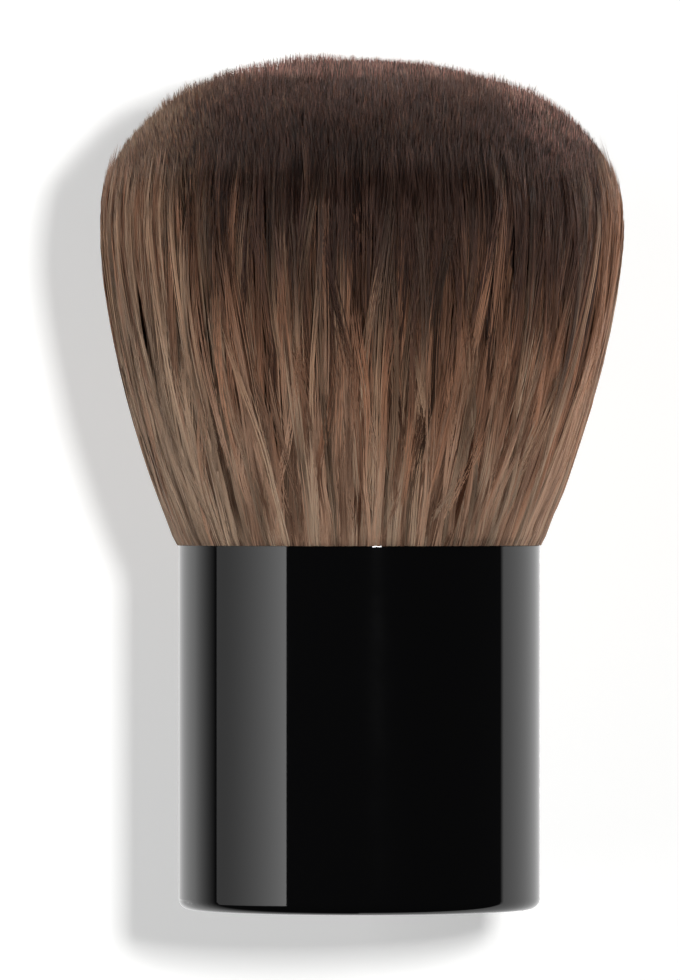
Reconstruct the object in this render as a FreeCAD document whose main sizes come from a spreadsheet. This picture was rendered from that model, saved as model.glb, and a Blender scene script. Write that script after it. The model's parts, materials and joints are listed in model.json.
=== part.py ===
import FreeCAD
import Part
import Sketcher
import math
import os

# A short kabuki brush that stands on its base. The origin is the middle of the base, +Z runs up the
# brush, and sizes are in millimetres. Pieces nest from the barrel inwards and stack from the base up,
# so a change of one size moves everything that sits on it.

Vector = FreeCAD.Vector
UP = Vector(0, 0, 1)
FULL_TURN = 360
QUARTERS_PER_TURN = 4
GAP_SAMPLES_PER_TURN = 90

doc = FreeCAD.newDocument("kabuki_brush")

# Driving sizes
SIZES = {
    # Barrel
    "handle_diameter": 30.5,
    "handle_height": 31.0,
    "sleeve_wall": 1.3,
    "sleeve_lip_depth": 1.9,
    "sleeve_mouth_radius": 1.2,
    "rim_edge_radius": 0.35,
    "base_edge_radius": 0.9,
    # Clearance of pieces that slide into each other and are glued, and how far a cut runs past its piece
    "fit_gap": 0.05,
    "cut_overrun": 1.0,
    # Snap-in base cap
    "cap_thickness": 1.5,
    "cap_edge_chamfer": 0.2,
    "cap_recess_depth": 0.4,
    "cap_recess_diameter": 21.0,
    "cap_skirt_height": 2.4,
    "cap_skirt_wall": 1.2,
    "cap_slot_width": 1.6,
    "cap_slot_count": 4,
    "cap_pad_height": 1.2,
    "cap_pad_diameter": 12.0,
    "cap_pad_wall": 1.5,
    "snap_width": 0.8,
    "snap_depth": 0.25,
    # Weight and the moulded core around it
    "weight_chamfer": 0.6,
    "core_web": 1.8,
    "core_pocket_wall": 2.3,
    "core_socket_wall": 0.85,
    "core_socket_chamfer": 0.3,
    "core_rib_height": 0.3,
    "core_rib_width": 0.8,
    "core_rib_lead": 2.0,
    "core_rib_count": 8,
    "core_vent_diameter": 4.0,
    # Drawn cup with a rolled bead that nips the hair
    "cup_wall": 0.5,
    "cup_corner_radius": 1.2,
    "cup_lip_radius": 0.2,
    "cup_lip_gap": 0.4,
    "cup_collar_height": 1.5,
    "bead_depth": 0.45,
    "bead_width": 2.0,
    "bead_gap": 0.6,
    # Resin and binding
    "plug_height": 3.5,
    "thread_diameter": 0.7,
    "thread_gap": 0.45,
    "thread_turns": 4,
    "thread_margin": 0.8,
    "waist_taper": 0.5,
    # Hair
    "head_diameter": 44.8,
    "flare_height": 26.1,
    "dome_height": 14.95,
    "side_radius": 77.0,
    "shoulder_share": 0.87,
    "hair_overhang": 0.1,
    "hair_gap": 0.1,
}

# Radii and heights that follow from the driving sizes
DERIVED = {
    # Barrel and cap, from the outside in
    "handle_radius": "Sizes.handle_diameter / 2",
    "bore_radius": "handle_radius - Sizes.sleeve_wall",
    "cap_radius": "bore_radius - Sizes.fit_gap",
    "cap_top": "Sizes.cap_thickness + Sizes.cap_skirt_height",
    "cap_recess_radius": "Sizes.cap_recess_diameter / 2",
    "cap_skirt_inner": "cap_radius - Sizes.cap_skirt_wall",
    "cap_pad_radius": "Sizes.cap_pad_diameter / 2",
    "cap_pad_inner": "cap_pad_radius - Sizes.cap_pad_wall",
    "cap_pad_top": "Sizes.cap_thickness + Sizes.cap_pad_height",
    "slot_inner": "cap_skirt_inner - Sizes.cut_overrun",
    "slot_outer": "cap_radius + Sizes.snap_depth + Sizes.cut_overrun",
    "slot_length": "Sizes.cap_skirt_height + Sizes.cut_overrun",
    "snap_middle": "Sizes.cap_thickness + Sizes.cap_skirt_height / 2",
    "snap_low": "snap_middle - Sizes.snap_width / 2",
    "snap_high": "snap_middle + Sizes.snap_width / 2",
    "snap_radius": "(Sizes.snap_depth^2 + (Sizes.snap_width / 2)^2) / (2 * Sizes.snap_depth)",
    "groove_half": "Sizes.snap_width / 2 + Sizes.fit_gap",
    "groove_low": "snap_middle - groove_half",
    "groove_high": "snap_middle + groove_half",
    "groove_radius": "(Sizes.snap_depth^2 + groove_half^2) / (2 * Sizes.snap_depth)",
    "lip_under": "Sizes.handle_height - Sizes.sleeve_lip_depth",
    # Core, weight and cup radii
    "core_radius": "bore_radius - Sizes.core_rib_height",
    "rib_inner": "core_radius - Sizes.core_rib_height",
    "rib_outer": "bore_radius - Sizes.fit_gap",
    "pocket_radius": "core_radius - Sizes.core_pocket_wall",
    "weight_radius": "pocket_radius - Sizes.fit_gap",
    "vent_radius": "Sizes.core_vent_diameter / 2",
    "socket_radius": "core_radius - Sizes.core_socket_wall",
    "cup_radius": "socket_radius - Sizes.fit_gap",
    "cup_bore": "cup_radius - Sizes.cup_wall",
    "cup_inner_corner": "Sizes.cup_corner_radius - Sizes.cup_wall",
    "root_radius": "cup_bore - Sizes.fit_gap",
    # Bound root of the hair, from its set end upwards
    "thread_radius": "Sizes.thread_diameter / 2",
    "thread_path_radius": "root_radius - thread_radius",
    "thread_pitch": "Sizes.thread_diameter + Sizes.thread_gap",
    "thread_rise": "Sizes.thread_turns * thread_pitch",
    "waist_radius": "thread_path_radius - thread_radius - Sizes.fit_gap",
    "waist_flat_low": "Sizes.thread_margin + Sizes.waist_taper",
    "thread_low": "waist_flat_low + Sizes.fit_gap",
    "waist_flat_high": "thread_low + thread_rise + Sizes.thread_diameter + Sizes.fit_gap",
    "waist_high": "waist_flat_high + Sizes.waist_taper",
    "bead_radius": "(Sizes.bead_depth^2 + (Sizes.bead_width / 2)^2) / (2 * Sizes.bead_depth)",
    "bead_bore_radius": "bead_radius + Sizes.cup_wall",
    "bead_bore_half": "sqrt(bead_bore_radius^2 - (bead_bore_radius - Sizes.bead_depth)^2)",
    "nip_radius": "bead_bore_radius + Sizes.fit_gap",
    "nip_half": "sqrt(nip_radius^2 - (nip_radius - Sizes.bead_depth)^2)",
    "nip_low": "waist_high + Sizes.bead_gap",
    "nip_high": "nip_low + 2 * nip_half",
    "root_lip": "nip_high + Sizes.cup_collar_height",
    # Cup, from its underside upwards
    "root_in_cup": "Sizes.cup_wall + Sizes.plug_height",
    "bead_middle": "root_in_cup + nip_low + nip_half",
    "bead_low": "bead_middle - Sizes.bead_width / 2",
    "bead_high": "bead_middle + Sizes.bead_width / 2",
    "bead_bore_low": "bead_middle - bead_bore_half",
    "bead_bore_high": "bead_middle + bead_bore_half",
    "cup_depth": "root_in_cup + root_lip",
    # Heights at which the pieces sit in the brush
    "cup_top": "Sizes.handle_height - Sizes.sleeve_mouth_radius - Sizes.cup_lip_gap",
    "cup_seat": "cup_top - cup_depth",
    "plug_seat": "cup_seat + Sizes.cup_wall",
    "root_seat": "plug_seat + Sizes.plug_height",
    "thread_seat": "root_seat + thread_low",
    "core_seat": "cap_top",
    "weight_seat": "cap_pad_top",
    "weight_height": "cup_seat - Sizes.core_web - weight_seat",
    # Core, from its underside upwards
    "core_height": "lip_under - core_seat",
    "pocket_roof": "cup_seat - Sizes.core_web - core_seat",
    "socket_floor": "pocket_roof + Sizes.core_web",
    "rib_length": "core_height - Sizes.core_rib_lead",
    # Head of hair, measured from the set end of its root
    "throat_low": "root_lip + Sizes.hair_gap",
    "throat_radius": "socket_radius - Sizes.hair_gap",
    "mouth_low": "Sizes.handle_height - Sizes.sleeve_mouth_radius - root_seat",
    "mouth_middle": "socket_radius + Sizes.sleeve_mouth_radius",
    "mouth_hair_radius": "Sizes.sleeve_mouth_radius + Sizes.hair_gap",
    "head_base": "Sizes.handle_height + Sizes.hair_gap - root_seat",
    "head_base_radius": "handle_radius + Sizes.hair_overhang",
    "head_radius": "Sizes.head_diameter / 2",
    "belly": "Sizes.handle_height + Sizes.flare_height - root_seat",
    "crown": "belly + Sizes.dome_height",
    "shoulder_radius": "Sizes.shoulder_share * min(Sizes.dome_height; head_radius)",
    "shoulder_middle": "head_radius - shoulder_radius",
}


def make_sheet(name, cells):
    """Writes one named cell per line of a new sheet."""
    sheet = doc.addObject("Spreadsheet::Sheet", name)
    for row, (alias, content) in enumerate(cells.items(), start=1):
        sheet.set(f"A{row}", alias)
        sheet.setAlias(f"B{row}", alias)
        sheet.set(f"B{row}", content)
    return sheet


sizes = make_sheet("Sizes", {alias: str(number) for alias, number in SIZES.items()})
derived = make_sheet("Derived", {alias: "=" + formula for alias, formula in DERIVED.items()})
doc.recompute()


def size(alias):
    """The present value of a named size, where 0 stands for the axis or the underside."""
    if alias == 0:
        return 0
    return float(getattr(sizes if alias in SIZES else derived, alias))


def cell(alias):
    """The expression that reads a named size."""
    return f"{'Sizes' if alias in SIZES else 'Derived'}.{alias}"


def new_body(label, seat=None):
    """Starts a piece, whose own underside lies at a named height of the brush."""
    body = doc.addObject("PartDesign::Body", label)
    body.Label = label
    if seat:
        body.setExpression("Placement.Base.z", cell(seat))
    return body


def new_sketch(body, name, role, lift=None):
    """Attaches a sketch to one of its body's own planes, at a named height above it."""
    plane = next(part for part in body.Origin.OriginFeatures if part.Role == role)
    sketch = body.newObject("Sketcher::SketchObject", name)
    sketch.AttachmentSupport = [(plane, "")]
    sketch.MapMode = "FlatFace"
    if lift:
        sketch.setExpression("AttachmentOffset.Base.z", cell(lift))
    return sketch


def bind(sketch, kind, *places, alias):
    """Adds a dimension to a sketch and ties it to a named size."""
    index = sketch.addConstraint(Sketcher.Constraint(kind, *places, size(alias)))
    sketch.setExpression(f"Constraints[{index}]", cell(alias))


def pin(sketch, edge, end, radius, height):
    """Ties one point of a half-section to its radius and height."""
    for kind, alias, axis in (("DistanceX", radius, -2), ("DistanceY", height, -1)):
        if alias == 0:
            sketch.addConstraint(Sketcher.Constraint("PointOnObject", edge, end, axis))
        else:
            bind(sketch, kind, -1, 1, edge, end, alias=alias)


def arc_about(middle, radius, start, finish):
    """An arc that runs counter-clockwise from one point to another."""
    angles = [math.atan2(spot.y - middle.y, spot.x - middle.x) for spot in (start, finish)]
    return Part.ArcOfCircle(Part.Circle(middle, UP, radius), *angles)


def shallow_arc(start, finish, radius, turn):
    """An arc of a given radius between two points, turning left (1) or right (-1) on its way."""
    chord = finish - start
    rise = math.sqrt(radius**2 - (chord.Length / 2) ** 2)
    aside = Vector(-chord.y, chord.x, 0).normalize() * (turn * rise)
    middle = (start + finish) * 0.5 + aside
    return arc_about(middle, radius, *((start, finish) if turn > 0 else (finish, start)))


def half_section(body, name, corners):
    """Draws the closed half-section of a turned piece. A corner is a radius and a height, and where an
    arc leads on to the next corner, also the arc's radius and the side that it turns to."""
    sketch = new_sketch(body, name, "XZ_Plane")
    spots = [Vector(size(corner[0]), size(corner[1]), 0) for corner in corners]
    ends = []
    for corner, start, finish in zip(corners, spots, spots[1:] + spots[:1]):
        if len(corner) == 2:
            sketch.addGeometry(Part.LineSegment(start, finish))
            ends.append((1, 2))
        else:
            sketch.addGeometry(shallow_arc(start, finish, size(corner[2]), corner[3]))
            ends.append((1, 2) if corner[3] > 0 else (2, 1))
    for index, corner in enumerate(corners):
        after = (index + 1) % len(corners)
        sketch.addConstraint(Sketcher.Constraint("Coincident", index, ends[index][1], after, ends[after][0]))
        pin(sketch, index, ends[index][0], corner[0], corner[1])
        if len(corner) > 2:
            bind(sketch, "Radius", index, alias=corner[2])
    return sketch


def turned(body, name, sketch):
    """Turns a half-section about the brush's axis."""
    feature = body.newObject("PartDesign::Revolution", name)
    feature.Profile = sketch
    feature.ReferenceAxis = (sketch, ["V_Axis"])
    feature.Angle = FULL_TURN
    doc.recompute()
    return feature


def bar_section(sketch, inner, outer, width):
    """Draws a rectangle across the X axis, between two radii."""
    low, high, half = size(inner), size(outer), size(width) / 2
    spots = [Vector(low, -half, 0), Vector(high, -half, 0), Vector(high, half, 0), Vector(low, half, 0)]
    for start, finish in zip(spots, spots[1:] + spots[:1]):
        sketch.addGeometry(Part.LineSegment(start, finish))
    for index in range(len(spots)):
        sketch.addConstraint(Sketcher.Constraint("Coincident", index, 2, (index + 1) % len(spots), 1))
    for index, kind in enumerate(("Horizontal", "Vertical", "Horizontal")):
        sketch.addConstraint(Sketcher.Constraint(kind, index))
    sketch.addConstraint(Sketcher.Constraint("Symmetric", 0, 1, 2, 2, -1))
    bind(sketch, "DistanceX", -1, 1, 0, 1, alias=inner)
    bind(sketch, "DistanceX", -1, 1, 0, 2, alias=outer)
    bind(sketch, "DistanceY", 1, 1, 1, 2, alias=width)


def disc(body, name, radius, height):
    """Pads a round disc up from the piece's underside."""
    sketch = new_sketch(body, name + "_outline", "XY_Plane")
    sketch.addGeometry(Part.Circle(Vector(), UP, size(radius)))
    sketch.addConstraint(Sketcher.Constraint("Coincident", 0, 3, -1, 1))
    bind(sketch, "Radius", 0, alias=radius)
    feature = body.newObject("PartDesign::Pad", name)
    feature.Profile = sketch
    feature.setExpression("Length", cell(height))
    doc.recompute()
    return feature


def round_the_axis(body, name, feature, count):
    """Repeats a feature evenly about the brush's axis."""
    pattern = body.newObject("PartDesign::PolarPattern", name)
    pattern.Originals = [feature]
    pattern.Axis = (feature.Profile[0], ["N_Axis"])
    pattern.Angle = FULL_TURN
    pattern.setExpression("Occurrences", cell(count))
    body.Tip = pattern
    doc.recompute()
    return pattern


def ring_edges(feature, *rings):
    """Names the circular edges of a feature that lie at the given radii and heights."""
    reach = size("fit_gap") / 2
    names = []
    for number, edge in enumerate(feature.Shape.Edges, start=1):
        if not isinstance(edge.Curve, Part.Circle):
            continue
        for radius, height in rings:
            off_radius = abs(edge.Curve.Radius - size(radius))
            off_height = abs(edge.Curve.Center.z - size(height))
            if max(off_radius, off_height) < reach:
                names.append(f"Edge{number}")
    return names


def eased(body, name, kind, feature, alias, *rings):
    """Rounds (Fillet) or bevels (Chamfer) the ring edges at the given radii and heights."""
    finish = body.newObject(f"PartDesign::{kind}", name)
    finish.Base = (feature, ring_edges(feature, *rings))
    finish.setExpression("Radius" if kind == "Fillet" else "Size", cell(alias))
    doc.recompute()
    return finish


def make_handle_sleeve():
    """The lacquered barrel: a tube whose lip holds the core down and whose mouth is rounded for the hair."""
    body = new_body("handle_sleeve")
    wall = half_section(body, "sleeve_section", [
        ("handle_radius", 0),
        ("handle_radius", "handle_height"),
        ("socket_radius", "handle_height"),
        ("socket_radius", "lip_under"),
        ("bore_radius", "lip_under"),
        ("bore_radius", "groove_high", "groove_radius", -1),
        ("bore_radius", "groove_low"),
        ("bore_radius", 0),
    ])
    tube = turned(body, "sleeve_tube", wall)
    base = eased(body, "base_edge", "Fillet", tube, "base_edge_radius", ("handle_radius", 0))
    rim = eased(body, "rim_edge", "Fillet", base, "rim_edge_radius", ("handle_radius", "handle_height"))
    eased(body, "mouth", "Fillet", rim, "sleeve_mouth_radius", ("socket_radius", "handle_height"))
    return body


def make_base_cap():
    """The snap-in disc that closes the barrel, with a slotted skirt and a pad ring under the weight."""
    body = new_body("base_cap")
    section = half_section(body, "cap_section", [
        (0, "cap_recess_depth"),
        ("cap_recess_radius", "cap_recess_depth"),
        ("cap_recess_radius", 0),
        ("cap_radius", 0),
        ("cap_radius", "snap_low", "snap_radius", 1),
        ("cap_radius", "snap_high"),
        ("cap_radius", "cap_top"),
        ("cap_skirt_inner", "cap_top"),
        ("cap_skirt_inner", "cap_thickness"),
        ("cap_pad_radius", "cap_thickness"),
        ("cap_pad_radius", "cap_pad_top"),
        ("cap_pad_inner", "cap_pad_top"),
        ("cap_pad_inner", "cap_thickness"),
        (0, "cap_thickness"),
    ])
    plate = turned(body, "cap_plate", section)
    eased(body, "cap_edge", "Chamfer", plate, "cap_edge_chamfer", ("cap_radius", 0))
    whole = body.Shape.Volume
    outline = new_sketch(body, "slot_outline", "XY_Plane", lift="cap_thickness")
    bar_section(outline, "slot_inner", "slot_outer", "cap_slot_width")
    slot = body.newObject("PartDesign::Pocket", "skirt_slot")
    slot.Profile = outline
    slot.Reversed = True
    slot.setExpression("Length", cell("slot_length"))
    doc.recompute()
    round_the_axis(body, "skirt_slots", slot, "cap_slot_count")
    print("base_cap: the slots take out", round(whole - body.Shape.Volume, 2), "cubic mm")
    return body


def make_balance_weight():
    """The turned steel slug that fills the space between the cap's pad and the core's web."""
    body = new_body("balance_weight", "weight_seat")
    slug = disc(body, "slug", "weight_radius", "weight_height")
    ends = (("weight_radius", 0), ("weight_radius", "weight_height"))
    eased(body, "slug_ends", "Chamfer", slug, "weight_chamfer", *ends)
    return body


def make_handle_core():
    """The moulded insert: a pocket below, a socket above, a vented web between and crush ribs outside."""
    body = new_body("handle_core", "core_seat")
    section = half_section(body, "core_section", [
        ("pocket_radius", 0),
        ("core_radius", 0),
        ("core_radius", "core_height"),
        ("socket_radius", "core_height"),
        ("socket_radius", "socket_floor"),
        ("vent_radius", "socket_floor"),
        ("vent_radius", "pocket_roof"),
        ("pocket_radius", "pocket_roof"),
    ])
    tube = turned(body, "core_tube", section)
    mouth = ("socket_radius", "core_height")
    eased(body, "socket_mouth", "Chamfer", tube, "core_socket_chamfer", mouth)
    outline = new_sketch(body, "rib_outline", "XY_Plane")
    bar_section(outline, "rib_inner", "rib_outer", "core_rib_width")
    rib = body.newObject("PartDesign::Pad", "crush_rib")
    rib.Profile = outline
    rib.setExpression("Length", cell("rib_length"))
    doc.recompute()
    round_the_axis(body, "crush_ribs", rib, "core_rib_count")
    return body


def make_ferrule_cup():
    """The drawn cup that holds the hair, with a bead rolled into its wall and a rounded lip."""
    body = new_body("ferrule_cup", "cup_seat")
    section = half_section(body, "cup_section", [
        (0, 0),
        ("cup_radius", 0),
        ("cup_radius", "bead_low", "bead_radius", -1),
        ("cup_radius", "bead_high"),
        ("cup_radius", "cup_depth"),
        ("cup_bore", "cup_depth"),
        ("cup_bore", "bead_bore_high", "bead_bore_radius", 1),
        ("cup_bore", "bead_bore_low"),
        ("cup_bore", "cup_wall"),
        (0, "cup_wall"),
    ])
    shell = turned(body, "cup_shell", section)
    outer = eased(body, "outer_corner", "Fillet", shell, "cup_corner_radius", ("cup_radius", 0))
    inner = eased(body, "inner_corner", "Fillet", outer, "cup_inner_corner", ("cup_bore", "cup_wall"))
    lip = (("cup_radius", "cup_depth"), ("cup_bore", "cup_depth"))
    eased(body, "lip_round", "Fillet", inner, "cup_lip_radius", *lip)
    return body


def make_epoxy_plug():
    """The resin cast into the bottom of the cup, which takes the cup's inner corner."""
    body = new_body("epoxy_plug", "plug_seat")
    cast = disc(body, "cast", "root_radius", "plug_height")
    eased(body, "cast_corner", "Fillet", cast, "cup_inner_corner", ("root_radius", 0))
    return body


def biarc(start, start_way, finish, finish_way):
    """Two tangent arcs from one point and direction to another."""
    span = finish - start
    ways = start_way + finish_way
    spread = 2 * (1 - start_way.dot(finish_way))
    along = span.dot(ways)
    reach = (math.sqrt(along**2 + spread * span.dot(span)) - along) / spread
    joint = (start + finish + (start_way - finish_way) * reach) * 0.5
    arcs = []
    for near, way, far in ((start, start_way, joint), (joint, None, finish)):
        peak = near + way * reach if way else finish - finish_way * reach
        middle = (near + far) * 0.5
        half = (far - near).Length / 2
        turn = math.atan((peak - middle).Length / half)
        rise = half * math.tan(turn / 2)
        crest = middle + (peak - middle).normalize() * rise
        arcs.append(Part.Arc(near, crest, far).toShape())
    return arcs


def make_binding_thread():
    """The thread wound round the root's waist: one unbroken tube on quarter-turn biarcs."""
    radius = size("thread_path_radius")
    pitch = size("thread_pitch")
    thickness = size("thread_diameter")
    quarters = QUARTERS_PER_TURN * int(size("thread_turns"))

    def station(turns):
        angle = 2 * math.pi * turns
        spot = Vector(radius * math.cos(angle), radius * math.sin(angle), thickness / 2 + pitch * turns)
        way = Vector(-math.sin(angle), math.cos(angle), pitch / (2 * math.pi * radius))
        return spot, way.normalize()

    stations = [station(quarter / QUARTERS_PER_TURN) for quarter in range(quarters + 1)]
    edges = [arc for here, there in zip(stations, stations[1:]) for arc in biarc(*here, *there)]
    path = Part.Wire(edges)
    section = Part.Wire(Part.Circle(*stations[0], thickness / 2).toShape())
    thread = doc.addObject("Part::Feature", "binding_thread")
    thread.Label = "binding_thread"
    thread.Shape = path.makePipeShell([section], True, False)
    thread.Placement = FreeCAD.Placement(Vector(0, 0, size("thread_seat")), FreeCAD.Rotation())

    samples = [station(step / GAP_SAMPLES_PER_TURN)[0]
               for step in range(int(size("thread_turns")) * GAP_SAMPLES_PER_TURN + 1)]
    apart = GAP_SAMPLES_PER_TURN // 2
    least = min((far - near).Length for index, near in enumerate(samples) for far in samples[index + apart:])
    expected = path.Length * math.pi * (thickness / 2) ** 2
    print("binding_thread: least gap to itself", round(least - thickness, 3), "mm")
    print("binding_thread: volume over section times length", round(thread.Shape.Volume / expected, 4))
    return thread


def meeting_point(first, first_reach, second, second_reach):
    """The point at given distances from two others that lies nearest the axis."""
    span = second - first
    along = (first_reach**2 - second_reach**2 + span.Length**2) / (2 * span.Length)
    aside = math.sqrt(first_reach**2 - along**2)
    foot = first + span.normalize() * along
    across = Vector(-span.y, span.x, 0) * aside
    return min((foot + across, foot - across), key=lambda spot: spot.x)


def dome_section(body):
    """Draws the head's half-section: a long side arc, a shoulder arc and a crown arc, each tangent to
    the next. The shoulder's middle lies level with the belly, which is the widest place."""
    sketch = new_sketch(body, "dome_section", "XZ_Plane")
    middle = Vector(0, size("head_base"), 0)
    edge = Vector(size("head_base_radius"), size("head_base"), 0)
    top = Vector(0, size("crown"), 0)
    shoulder = Vector(size("shoulder_middle"), size("belly"), 0)
    shoulder_radius = size("shoulder_radius")
    side_radius = size("side_radius")
    spare = size("dome_height") - shoulder_radius
    crown_radius = (shoulder.x**2 + size("dome_height") ** 2 - shoulder_radius**2) / (2 * spare)
    crown_middle = top - Vector(0, crown_radius, 0)
    side_middle = meeting_point(edge, side_radius, shoulder, side_radius - shoulder_radius)
    side_end = shoulder + (shoulder - side_middle).normalize() * shoulder_radius
    crown_end = shoulder + (shoulder - crown_middle).normalize() * shoulder_radius

    sketch.addGeometry(Part.LineSegment(middle, edge))
    sketch.addGeometry(arc_about(side_middle, side_radius, edge, side_end))
    sketch.addGeometry(arc_about(shoulder, shoulder_radius, side_end, crown_end))
    sketch.addGeometry(arc_about(crown_middle, crown_radius, crown_end, top))
    sketch.addGeometry(Part.LineSegment(top, middle))
    floor, side, round_off, cap, axis = range(5)
    for first, second in ((floor, side), (cap, axis), (axis, floor)):
        sketch.addConstraint(Sketcher.Constraint("Coincident", first, 2, second, 1))
    sketch.addConstraint(Sketcher.Constraint("Tangent", side, 2, round_off, 1))
    sketch.addConstraint(Sketcher.Constraint("Tangent", round_off, 2, cap, 1))
    sketch.addConstraint(Sketcher.Constraint("PointOnObject", cap, 3, -2))
    pin(sketch, floor, 1, 0, "head_base")
    pin(sketch, side, 1, "head_base_radius", "head_base")
    pin(sketch, round_off, 3, "shoulder_middle", "belly")
    pin(sketch, axis, 1, 0, "crown")
    bind(sketch, "Radius", round_off, alias="shoulder_radius")
    bind(sketch, "Radius", side, alias="side_radius")
    return sketch


def make_bristle_head():
    """The bundle of hair: a bound and nipped root in the cup, a throat round the rim, and the domed head."""
    body = new_body("bristle_head", "root_seat")
    root = half_section(body, "root_section", [
        (0, 0),
        ("root_radius", 0),
        ("root_radius", "thread_margin"),
        ("waist_radius", "waist_flat_low"),
        ("waist_radius", "waist_flat_high"),
        ("root_radius", "waist_high"),
        ("root_radius", "nip_low", "nip_radius", -1),
        ("root_radius", "nip_high"),
        ("root_radius", "throat_low"),
        ("throat_radius", "mouth_low", "mouth_hair_radius", -1),
        ("mouth_middle", "head_base"),
        (0, "head_base"),
    ])
    turned(body, "root", root)
    turned(body, "dome", dome_section(body))
    return body


pieces = [
    make_handle_sleeve(),
    make_base_cap(),
    make_balance_weight(),
    make_handle_core(),
    make_ferrule_cup(),
    make_epoxy_plug(),
    make_binding_thread(),
    make_bristle_head(),
]
doc.recompute()

# Nothing is written unless every feature came out and every piece is one sound solid
for item in doc.Objects:
    if {"Invalid", "Error"} & set(item.State):
        raise RuntimeError(f"{item.Name} failed: {item.State}")
for piece in pieces:
    if piece.Shape.isNull() or not piece.Shape.isValid() or len(piece.Shape.Solids) != 1:
        raise RuntimeError(f"{piece.Label} is not one valid solid")

os.makedirs("parts", exist_ok=True)
for piece in pieces:
    piece.Shape.exportStep(f"parts/{piece.Label}.step")
    box = piece.Shape.optimalBoundingBox()
    print(f"{piece.Label}: z {box.ZMin:.2f} to {box.ZMax:.2f}, widest {box.XLength:.2f},"
          f" {piece.Shape.Volume:.0f} cubic mm")
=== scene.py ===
# %% [markdown]
# # Dressing a kabuki brush
# A kabuki brush is a short powder brush: a dense head of hair in a straight lacquered handle.
# The CAD model gives the rigid pieces and a plain solid for the hair. Here the rigid pieces get
# their finishes, and the plain solid is replaced by thousands of modelled hairs.
# Everything is in metres and in the CAD model's own frame, so nothing has to be fitted into place.

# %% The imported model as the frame
import json
import math

import bpy
import numpy as np
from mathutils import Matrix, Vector

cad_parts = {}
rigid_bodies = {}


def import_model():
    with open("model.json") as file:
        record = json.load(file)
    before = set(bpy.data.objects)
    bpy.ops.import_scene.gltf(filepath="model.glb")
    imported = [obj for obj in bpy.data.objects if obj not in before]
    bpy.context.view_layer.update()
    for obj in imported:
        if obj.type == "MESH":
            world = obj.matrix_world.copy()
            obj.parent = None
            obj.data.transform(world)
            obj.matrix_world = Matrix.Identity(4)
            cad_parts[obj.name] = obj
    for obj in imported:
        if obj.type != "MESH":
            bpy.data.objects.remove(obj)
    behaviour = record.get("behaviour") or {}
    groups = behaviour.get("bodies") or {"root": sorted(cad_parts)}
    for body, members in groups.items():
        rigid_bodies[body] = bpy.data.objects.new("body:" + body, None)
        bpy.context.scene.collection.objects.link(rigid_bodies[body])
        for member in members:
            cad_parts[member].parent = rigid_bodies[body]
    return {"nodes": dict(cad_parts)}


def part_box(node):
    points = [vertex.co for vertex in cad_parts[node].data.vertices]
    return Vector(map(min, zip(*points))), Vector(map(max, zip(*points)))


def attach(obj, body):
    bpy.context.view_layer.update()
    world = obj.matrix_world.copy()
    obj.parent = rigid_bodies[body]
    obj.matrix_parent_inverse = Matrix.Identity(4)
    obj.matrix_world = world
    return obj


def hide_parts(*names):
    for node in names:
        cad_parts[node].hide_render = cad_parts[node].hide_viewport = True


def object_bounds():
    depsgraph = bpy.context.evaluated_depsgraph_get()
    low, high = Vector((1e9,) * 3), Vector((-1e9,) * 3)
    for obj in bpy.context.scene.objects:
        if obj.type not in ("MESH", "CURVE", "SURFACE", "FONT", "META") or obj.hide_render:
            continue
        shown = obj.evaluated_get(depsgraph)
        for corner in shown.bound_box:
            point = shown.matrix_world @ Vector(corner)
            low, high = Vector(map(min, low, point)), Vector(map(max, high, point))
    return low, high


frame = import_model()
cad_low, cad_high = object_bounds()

MM = 0.001
scene = bpy.context.scene
scene.view_settings.view_transform = "Standard"
print("CAD box in mm:", [round(v / MM, 2) for v in cad_low], [round(v / MM, 2) for v in cad_high])

# %% [markdown]
# ## The camera
# The photograph was taken square to the brush's axis, with a long lens that keeps both sides of the
# barrel nearly parallel and the foot nearly straight. That calls for a camera almost a metre away, and
# the lens is worked out from the height that the picture covers at the brush.

# %% A long lens, square to the axis
def place_object(name, data):
    """Puts a camera, lamp or mesh into the scene."""
    made = bpy.data.objects.new(name, data)
    scene.collection.objects.link(made)
    return made


CAMERA_PLACE = (-1.626 * MM, -900 * MM, 35.36 * MM)
PICTURE_HEIGHT = 82.8 * MM
SENSOR = 36.0

camera_data = bpy.data.cameras.new("front_camera")
camera_data.sensor_width = SENSOR
camera_data.lens = SENSOR * -CAMERA_PLACE[1] / PICTURE_HEIGHT
camera_data.clip_start, camera_data.clip_end = 0.01, 20
camera = place_object("front_camera", camera_data)
camera.location = CAMERA_PLACE
camera.rotation_euler = (math.pi / 2, 0, 0)
scene.camera = camera
print("lens:", round(camera_data.lens, 1), "mm")

# %% [markdown]
# ## Small helpers for shader nodes
# Every finish below is a tree of nodes. A few short helpers keep the cells readable. They add a node
# and set its values, wire nodes together, start a material with its main shader, turn a height into a
# bump, and turn a colour given as screen values into the numbers that shaders use.

# %% Node helpers
def set_inputs(node, values):
    """Sets a node's inputs by number or by name, in which a space may be written as _."""
    for key, value in values.items():
        node.inputs[key if isinstance(key, int) else key.replace("_", " ")].default_value = value


def add(tree, kind, values=None, **settings):
    """Adds a node, sets its properties, and then the values of its inputs."""
    made = tree.nodes.new("ShaderNode" + kind)
    for name, value in settings.items():
        setattr(made, name, value)
    set_inputs(made, values or {})
    return made


def link(tree, *wires):
    """Each wire is a node, its output, the next node and that node's input, by name or number."""
    for source, output, target, entry in wires:
        tree.links.new(source.outputs[output], target.inputs[entry])


def new_finish(name, **values):
    """A material whose main shader has these plain values."""
    made = bpy.data.materials.new(name)
    made.use_nodes = True
    shader = made.node_tree.nodes["Principled BSDF"]
    set_inputs(shader, values)
    return made, made.node_tree, shader


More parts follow.
